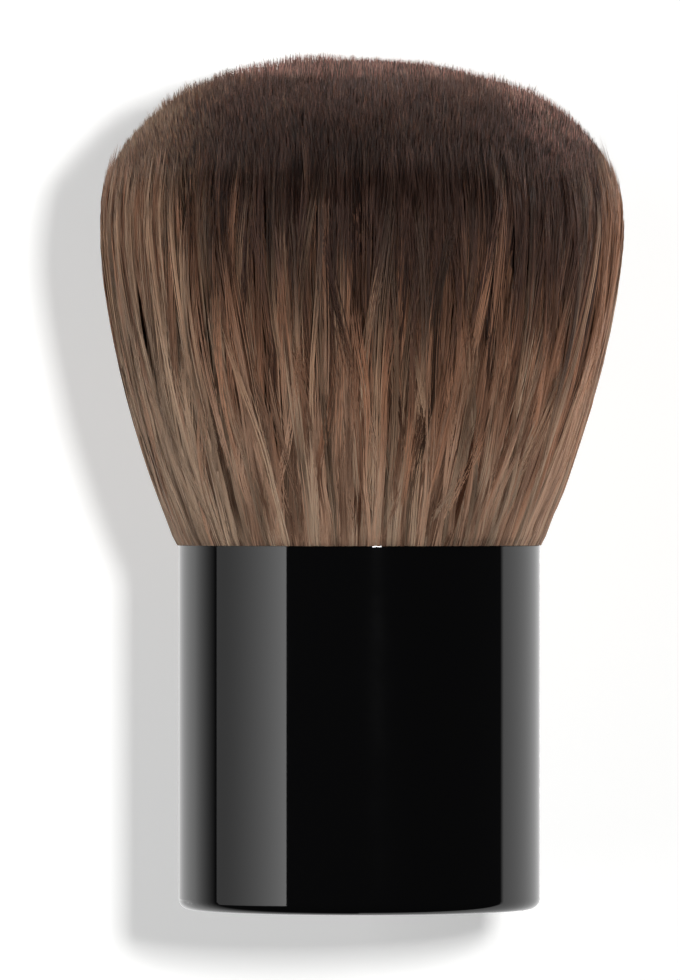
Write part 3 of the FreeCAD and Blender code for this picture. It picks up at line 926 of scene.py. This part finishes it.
# Where the painted side light on the tips sets in on the left and right, and where it fades out behind
SIDE_LIGHT_LEFT, SIDE_LIGHT_RIGHT, SIDE_LIGHT_FADES_BEHIND = (9, 10.5), (18.2, 4), (15, 14)
RIGHT_SIDE_LIGHT = 0.9
GREY_EVERYWHERE, GREY_MORE, GREY_LEFT = 0.24, 0.45, (8, 9)
DRIFT_PLACES = (-14.5, -9.5, -6, -3, 12, 14.5)
DRIFT_TONES = (0.0, -0.15, -0.05, 0.0, 0.0, 0.16)


def painted_side_light(x, y):
    """Painted side light: 0 where the tips stay fully dark, 1 where they stay brown; the far side is
    dark.
    """
    sides = rise(-x / MM, *SIDE_LIGHT_LEFT) + RIGHT_SIDE_LIGHT * rise(x / MM, *SIDE_LIGHT_RIGHT)
    return sides * fall(y / MM, *SIDE_LIGHT_FADES_BEHIND)


def grey_share(x):
    """How many of the hairs are of the greyer kind."""
    return GREY_EVERYWHERE + GREY_MORE * rise(-x / MM, *GREY_LEFT)


def tone_drift(x):
    """How much lighter or darker the hairs are that leave the handle at this place."""
    return np.interp(x / MM, DRIFT_PLACES, DRIFT_TONES)


def lean_of(height):
    """How far the head is bent to the right at a height."""
    return HEAD_LEAN * rise(height, RIM, BELLY - RIM) * fall(height, CROWN, CROWN - BELLY)


places = np.array([-20, 0, 20]) * MM
print("paleness at the left, middle and right:", np.round(painted_side_light(places, 0), 2))

# %% [markdown]
# ## Two layers of hair
# Hair never lies singly. Below lies an even layer of thin clumps, most of which run all the way to the
# dome. On top lie broader locks that end in points, most of them part of the way up, and look paler.
# That gives the streaks that come and go, with darker hair between them; the lower layer's darker tone
# is partly painted shade for the gaps between the locks. The layers differ only in a few numbers, so
# one function draws the chances of both, clump by clump.

# %% Traits of the clumps
LAYERS = {
    # The lower layer's darker tone is partly painted shade for the gaps between the locks
    "flank_hair": {
        "clumps": 900, "hairs": 8, "width": 0.17 * MM, "pull": 0.5, "lean": 0.06, "short": 0.25,
        "depth": (0.011, 0.03), "tone": 0.36, "tone_spread": 0.15, "streak": (0.05, 0.2), "grey": 0.4,
    },
    "lock_hair": {
        "clumps": 520, "hairs": 12, "width": 0.2 * MM, "pull": 0.85, "lean": 0.095, "short": 0.8,
        "depth": (0.0, 0.008), "tone": 0.57, "tone_spread": 0.21, "streak": (0.1, 0.32), "grey": 1.2,
    },
}
TONE_GROUPS = 130
GROUP_TONE, GROUP_LEAN = 0.06, 0.03
CUT_SHORT = (0.34, 0.95)


def clump_traits(layer, rng):
    """One number a clump for each trait; depths are shares of the radius, leans are angles."""
    count = layer["clumps"]
    angle = (np.arange(count) + rng.uniform(-0.5, 0.5, count)) * 2 * np.pi / count
    edges = np.sort(rng.uniform(0, 2 * np.pi, TONE_GROUPS - 1))
    group = np.searchsorted(edges, angle % (2 * np.pi))
    drift = tone_drift(np.cos(angle) * HEAD_BASE[0])
    group_tone, group_lean = rng.normal(0, [[GROUP_TONE], [GROUP_LEAN]], (2, TONE_GROUPS))

    def any_of(low, high):
        return rng.uniform(low, high, count)

    return {
        "angle": angle,
        "depth": any_of(*layer["depth"]),
        "cut": np.where(any_of(0, 1) < layer["short"], any_of(*CUT_SHORT), 1.0),
        "tone": layer["tone"] + drift + group_tone[group] + rng.normal(0, layer["tone_spread"], count),
        "streak": any_of(*layer["streak"]),
        "streaks": any_of(1.0, 3.2),
        "streak_start": any_of(0, 1),
        "lean": group_lean[group] + rng.normal(0, layer["lean"], count),
        "sway": any_of(0.005, 0.02),
        "sways": any_of(0.5, 1.6),
        "sway_start": any_of(0, 1),
        "dive": any_of(0.002, 0.011),
        "dives": any_of(0.6, 1.8),
        "dive_start": any_of(0, 1),
        "spare": np.clip(rng.normal(-0.2, 1.9, count), -6.0, 1.7) * MM,
        "reach": np.clip(np.exp(rng.normal(-0.34, 0.34, count)), 0.35, 2.2),
        "dye": rng.normal(0, 0.15, count),
        "grey": any_of(0, 1) < layer["grey"] * grey_share(np.cos(angle) * HEAD_RADIUS),
    }


print("clumps:", {name: layer["clumps"] for name, layer in LAYERS.items()})

# %% [markdown]
# ## Hairs in their clumps
# A hair takes its clump's path with a small step to the side. The step shrinks towards the tip, because
# tips cling together, and hairs at the edge of a clump lie a little deeper, which makes the clump
# round. The clump sways, dives and changes its tone on the way up. The inner share is chosen to keep
# the hairs outside the inner body, which is made last.

# %% Hairs of the flank
HAIR_RADIUS = 0.056 * MM
THICKNESS = (0.7, 1.35)
TAPER_AT, TAPER = (0, 0.3, 0.9), (0.9, 1, 0.55)
OUTER_SHARE, INNER_SHARE = 0.997, 0.958
CLUMP_ROUND = 0.001
HELD_PART = 0.22
# Painted light from the left: the dark of the tips reaches less far down on the left than on the right
SIDE_LIGHT_SLANT = 0.014 / MM
# How far the painted side light keeps the tips of the side hairs brown
SIDE_LIGHT_ON_TIPS = 0.4
# Painted light on the last part of each side hair, whose tip faces the camera and gets less light
PAINTED_TIP_LIGHT, TIP_LIGHT_SPAN = 0.19, (0.68, 0.27)
DARK_TIP = 0.96


def side_hairs(layer, rng):
    """Paths, radii, tones, kinds and places up the chart of all hairs in a layer."""
    clumps = clump_traits(layer, rng)
    of_clump = {name: np.repeat(value, layer["hairs"])[:, None] for name, value in clumps.items()}
    count = layer["clumps"] * layer["hairs"]

    def wave(name, way):
        return np.sin(2 * np.pi * (of_clump[name + "s"] * way + of_clump[name + "_start"]))

    def noise(spread):
        return rng.normal(0, spread, (count, 1))

    aside = noise(1)
    depth = of_clump["depth"] + CLUMP_ROUND * aside**2 + np.abs(noise(0.003))
    spare = of_clump["spare"] + noise(0.6) * MM
    cut = np.where(of_clump["cut"] < 1, of_clump["cut"] * rng.uniform(0.8, 1, (count, 1)), 1.0)
    share = np.maximum(OUTER_SHARE - depth, INNER_SHARE)
    radius, height, t = side_line(share[:, 0], spare[:, 0], cut)
    free = rise(t, 0, HELD_PART)
    way = t * cut

    lean = of_clump["lean"] + noise(0.012)
    step = aside * layer["width"] / HEAD_BASE[0] * (1 - layer["pull"] * t**1.5)
    angle = of_clump["angle"] + step + (of_clump["sway"] * wave("sway", t) + lean * t**1.2) * free
    under = 0.5 + 0.5 * wave("dive", t)
    radius = radius * (1 - of_clump["dive"] * under * free * (1 - 0.85 * t))
    paths = np.stack([radius * np.cos(angle) + lean_of(height), radius * np.sin(angle), height], 2)

    radii = HAIR_RADIUS * rng.uniform(*THICKNESS, (count, 1)) * np.interp(t, TAPER_AT, TAPER)
    tone = of_clump["tone"] + noise(0.07) + of_clump["streak"] * wave("streak", way)
    tip_x, tip_y = paths[:, -1:, 0], paths[:, -1:, 1]
    # pale is painted side light on the tips plus each clump's random dye; it lifts the tone a little
    # too
    pale = np.clip(painted_side_light(tip_x, tip_y) + of_clump["dye"] + noise(0.08), 0, 1)
    # The painted light from the left slants each clump's random reach of the dark
    reach = of_clump["reach"] * np.exp(noise(0.1) - SIDE_LIGHT_SLANT * tip_x)
    along = np.minimum((1 - SIDE_LIGHT_ON_TIPS * pale) * way**reach, DARK_TIP)
    # Painted light: the sides a little lighter, and the tips of the side hairs lighter
    tone = tone + 0.05 * pale + PAINTED_TIP_LIGHT * rise(way, *TIP_LIGHT_SPAN)
    return paths, radii, tone, of_clump["grey"][:, 0], along


flank = side_hairs(LAYERS["flank_hair"], np.random.default_rng(11))
locks = side_hairs(LAYERS["lock_hair"], np.random.default_rng(12))
print("side hairs:", len(flank[0]), "below and", len(locks[0]), "in locks")

# %% [markdown]
# ## The hairs of the dome
# Inside the flank only the tips are seen, so these hairs are just their last few millimetres. Their
# tips lie evenly over the dome and gather in small tufts, and their lengths differ a little, which
# gives the crown its fine broken edge. The outer ones rise from inside the flank, so that their lower
# ends stay hidden. As in the photograph, the crown is a touch higher on the left and fuller half-way
# out, and the red ends of the middle, which are partly painted glow of light through the ends, reach
# further out on the right.

# %% The crown's small departures from the dome
LEFT_TILT, RIGHT_TILT = 0.36 * MM, 0.18 * MM
SWELL = 0.15 * MM


def crown_shape(angle, reach):
    """How much the tips stand above the dome, by direction and distance from the axis."""
    across = np.cos(angle)
    tilt = np.where(across < 0, LEFT_TILT, RIGHT_TILT) * across
    tilt = tilt * rise(reach, 0, 4 * MM) * fall(reach, (15.5 - 2.5 * across) * MM, 5 * MM)
    swell = SWELL * rise(reach, 3 * MM, 4 * MM) * fall(reach, 17 * MM, 5 * MM)
    return swell - tilt


both_sides = crown_shape(np.array([np.pi, 0]), 8 * MM)
print("crown above the dome, 8 mm to the left and right, mm:", np.round(both_sides / MM, 2))

# %% Tips over the dome
DOME_HAIRS, DOME_TUFTS = 38000, 4600
DOME_HAIR_RADIUS = 0.055 * MM
DOME_LENGTH = (6.0, 9.0)
DOME_STEPS = np.array([[0, 0.45, 0.8, 1]])
DOME_TAPER = np.array([[1, 1, 0.75, 0.75]])
DOME_EDGE, MOVED_IN = (0.955, 0.985), (0.6, 0.96)
TUFT_SHARE, TUFT_WIDTH = 0.018, 0.4 * MM
INWARD = 0.08
# Painted shade: how much darker the outer hairs of the dome are; then how much the painted side light
# lightens the tips
DOME_TONE, PAINTED_EDGE_SHADE, SIDE_LIGHT_TONE = 0.15, 0.09, 0.2
# Where the red ends, partly painted glow, stop in the middle, and how much further the painted glow
# reaches on the right
RED_GLOW_TO, GLOW_FURTHER, GLOW_RIGHT = 0.46, 0.55, (9, 8)
DARK_END = 0.028
# How far the painted side light keeps the dome's tips brown
DOME_SIDE_LIGHT_ON_TIPS = 0.36


def dome_hairs(rng):
    """The same five for the fine tips on the dome."""
    tuft = rng.integers(0, DOME_TUFTS, DOME_HAIRS)
    tuft_share, tuft_angle = dome_shares(rng.random(DOME_TUFTS)), rng.uniform(0, 2 * np.pi, DOME_TUFTS)
    tuft_tone, tuft_bend = rng.normal(0, 0.14, DOME_TUFTS), rng.normal(0, 0.45, (2, DOME_TUFTS))
    share = np.abs(tuft_share[tuft] + rng.normal(0, TUFT_SHARE, DOME_HAIRS))
    beyond = share > rng.uniform(*DOME_EDGE, DOME_HAIRS)
    share = np.where(beyond, rng.uniform(*MOVED_IN, DOME_HAIRS), share)
    reach = np.maximum(hair_radius(share, tip_height(share)), 0.5 * MM)
    angle = tuft_angle[tuft] + rng.normal(0, TUFT_WIDTH, DOME_HAIRS) / reach
    angle = np.where(share < 0.05, rng.uniform(0, 2 * np.pi, DOME_HAIRS), angle)

    top = tip_height(share) + crown_shape(angle, reach) + rng.normal(0.0, 0.16, DOME_HAIRS) * MM
    long = rng.uniform(*DOME_LENGTH, DOME_HAIRS) * MM
    height = top[:, None] - long[:, None] * (1 - DOME_STEPS)
    inward = INWARD * rise(share, 0.65, 0.25)[:, None] * (1 - DOME_STEPS)
    radius = hair_radius(share[:, None], height) * (1 - inward)
    bend = (tuft_bend[:, tuft] + rng.normal(0, 0.2, (2, DOME_HAIRS))) * MM
    out = np.stack([np.cos(angle), np.sin(angle)])
    bend = bend - out * np.maximum((bend * out).sum(0), 0) * rise(share, 0.6, 0.3)
    bend = bend[:, :, None] * DOME_STEPS**2
    x = radius * np.cos(angle)[:, None] + bend[0] + lean_of(height)
    paths = np.stack([x, radius * np.sin(angle)[:, None] + bend[1], height], 2)

    radii = DOME_HAIR_RADIUS * rng.uniform(0.8, 1.3, (DOME_HAIRS, 1)) * DOME_TAPER
    # Painted shade: the outer hairs of the dome darker, to hide that the crown lamp lights them more
    # than the flank's tips
    tone = DOME_TONE - PAINTED_EDGE_SHADE * rise(share, 0.7, 0.2)
    tone = tone + tuft_tone[tuft] + rng.normal(0, 0.13, DOME_HAIRS)
    # pale is painted side light on the tips plus each tuft's random dye; it lightens their tone as well
    pale = painted_side_light(x[:, -1], paths[:, -1, 1]) + rng.normal(0, 0.22, DOME_TUFTS)[tuft]
    pale = np.clip(pale + rng.normal(0, 0.08, DOME_HAIRS), 0, 1)
    part = long / (tip_height(share) - RIM)
    # Painted glow: the red ends reach further out on the right
    dark_from = RED_GLOW_TO + GLOW_FURTHER * rise(x[:, -1] / MM, *GLOW_RIGHT)
    end = (1 - DOME_SIDE_LIGHT_ON_TIPS * pale) * (1 - DARK_END * rise(share, dark_from, 0.2))
    along = end[:, None] * (1 - (1 - DOME_STEPS) * part[:, None])
    grey = rng.random(DOME_TUFTS)[tuft] < grey_share(x[:, -1])
    return paths, radii, (tone + SIDE_LIGHT_TONE * pale)[:, None], grey, along


dome = dome_hairs(np.random.default_rng(23))
print("dome hairs:", len(dome[0]))

# %% [markdown]
# ## Hair tips further down
# Seen from above, one looks between the fine tips on to the tips of the hairs below them. These are
# drawn as short points that stand close together. Turning each by the golden angle from the last, and
# giving each the same area, spreads them evenly over the dome without rows.

# %% Points under the dome's hairs
UNDER_TIPS = 26000
UNDER_RADIUS = 0.34 * MM
UNDER_LENGTH = 3.5 * MM
UNDER_DEPTH = (0.1, 0.5)
UNDER_INWARD, UNDER_EDGE = 0.05, 0.955
UNDER_ALONG = np.array([[0.88, 0.98]])
GOLDEN_ANGLE = math.pi * (3 - math.sqrt(5))


def under_tips(rng):
    """The same five for the short points below them."""
    share = dome_shares((np.arange(UNDER_TIPS) + 0.5) / UNDER_TIPS)
    angle = np.arange(UNDER_TIPS) * GOLDEN_ANGLE + rng.normal(0, 0.004, UNDER_TIPS)
    top = tip_height(share) - rng.uniform(*UNDER_DEPTH, UNDER_TIPS) * MM
    height = np.stack([top - UNDER_LENGTH, top], 1)
    inward = UNDER_INWARD * rise(share, 0.6, 0.3)[:, None] * np.array([[1, 0]])
    radius = hair_radius(np.minimum(share, UNDER_EDGE)[:, None], height) * (1 - inward)
    x = radius * np.cos(angle)[:, None] + lean_of(height)
    paths = np.stack([x, radius * np.sin(angle)[:, None], height], 2)
    radii = np.full((UNDER_TIPS, 2), UNDER_RADIUS)
    tone = rng.normal(0.15, 0.15, (UNDER_TIPS, 1))
    # Painted side light on the tips, plus some random dye
    pale = np.clip(painted_side_light(x[:, -1], paths[:, -1, 1]) + rng.normal(0, 0.2, UNDER_TIPS), 0, 1)
    along = (1 - DOME_SIDE_LIGHT_ON_TIPS * pale[:, None]) * UNDER_ALONG
    return paths, radii, tone, rng.random(UNDER_TIPS) < grey_share(x[:, -1]), along


under = under_tips(np.random.default_rng(29))
print("points under the hairs:", len(under[0]))

# %% [markdown]
# ## Four quarters
# A single mesh of all the hair would be too heavy to handle, so each kind of hair is split into four
# quarters by the direction of its lower end: front, right, back and left.

# %% Pieces of hair
QUARTERS = ("front", "right", "back", "left")


def quarter_of(paths):
    """0 for hairs that start towards the camera, then 1, 2, 3 going round by the right."""
    angle = np.arctan2(paths[:, 0, 1], paths[:, 0, 0])
    return np.floor((angle + np.pi * 0.75) / (np.pi / 2)).astype(int) % 4


def hair_piece(name, mesh):
    piece = place_object(name, mesh)
    mesh.materials.append(brown_hair)
    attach(piece, "root")
    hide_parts("bristle_head")
    return piece


def quarter_pieces(stem, hairs, seed):
    paths, radii, tone, grey, along = hairs
    turn = np.random.default_rng(seed).uniform(0, 2 * np.pi, len(paths))
    radii, tone, along = (np.broadcast_to(value, paths.shape[:2]) for value in (radii, tone, along))
    which = quarter_of(paths)
    for number, side in enumerate(QUARTERS):
        own, name = which == number, f"{stem}_{side}"
        mesh = tube_mesh(name, *(value[own] for value in (paths, radii, tone, grey, along, turn)))
        hair_piece(name, mesh)
        print(name + ":", int(own.sum()), "hairs,", len(mesh.polygons), "faces")


quarter_pieces("flank_hair", flank, 31)
quarter_pieces("lock_hair", locks, 33)
quarter_pieces("dome_hair", dome, 37)
quarter_pieces("under_hair", under, 41)

# %% [markdown]
# ## The inside of the bundle
# Between the hairs one looks into the bundle, which is more hair in deep shade. A ridged body of
# revolution, a little smaller than the head, stands for it, so that no light shines through.

# %% Outline of the inner body
CORE_TURNS = 360
CORE_SHARE = 0.943
CORE_SINK = 0.9 * MM
CORE_RIDGE = 0.002
CORE_TONES, CORE_TOP = (0.25, 0.6), 0.97
CORE_NECK = np.array([(-0.8, 12.0), (1.2, 13.2), (3.2, 15.2)]) * MM
CORE_RINGS, CORE_STEP = 14, 40


def core_line():
    """Radius and height from the neck in the mouth to just under the crown."""
    low = np.linspace(RIM + CORE_NECK[0, 0], SIDE_END, CORE_RINGS)
    neck = np.interp(low - RIM, CORE_NECK[:, 0], CORE_NECK[:, 1], right=np.inf)
    flank_line = np.stack([np.minimum(side_radius(low) * CORE_SHARE, neck), low], 1)
    high = heights[CORE_STEP::CORE_STEP]
    sink = CORE_SINK * (high - SIDE_END) / (CROWN - SIDE_END)
    dome_line = np.stack([dome_radius(high) * CORE_SHARE, high - sink], 1)
    return np.concatenate([flank_line, dome_line])


print("rings of the inner body:", len(core_line()))

# %% Inner body
def build_core():
    rng = np.random.default_rng(5)
    line = core_line()
    turn = np.linspace(0, 2 * np.pi, CORE_TURNS, endpoint=False)
    ring = line[:, None, 0] * (1 + CORE_RIDGE * rng.normal(0, 1, CORE_TURNS))
    level = np.broadcast_to(line[:, None, 1], ring.shape)
    body = np.stack([ring * np.cos(turn), ring * np.sin(turn), level], 2).reshape(-1, 3)
    verts = np.concatenate([body, [[0, 0, line[0, 1]], [0, 0, line[-1, 1]]]])
    tone = on_chart(rng.uniform(*CORE_TONES, CORE_TURNS), 0)
    along = np.clip((line[:, 1] - RIM) / (line[-1, 1] - RIM), 0, CORE_TOP)
    bottom, top, last = len(verts) - 2, len(verts) - 1, len(body) - CORE_TURNS

    faces, chart = [], []
    for j in range(CORE_TURNS):
        k = (j + 1) % CORE_TURNS
        left, right = tone[j], tone[j] + STRIP
        for i in range(len(line) - 1):
            low, high = i * CORE_TURNS, (i + 1) * CORE_TURNS
            faces.append((low + j, low + k, high + k, high + j))
            chart += [(left, along[i]), (right, along[i]), (right, along[i + 1]), (left, along[i + 1])]
        faces += [(bottom, k, j), (last + j, last + k, top)]
        chart += [(left, 0.0), (right, 0.0), (right, 0.02)]
        chart += [(left, CORE_TOP), (right, CORE_TOP), (left, CORE_TOP + 0.01)]

    mesh = bpy.data.meshes.new("inner_hair")
    mesh.from_pydata([tuple(p) for p in verts], [], faces)
    mesh.uv_layers.new(name="OFBake").data.foreach_set("uv", np.array(chart, np.float32).ravel())
    mesh.polygons.foreach_set("use_smooth", np.ones(len(faces), bool))
    mesh.update()
    return hair_piece("inner_hair", mesh)


inner_hair = build_core()
print("inner body:", len(inner_hair.data.polygons), "faces")
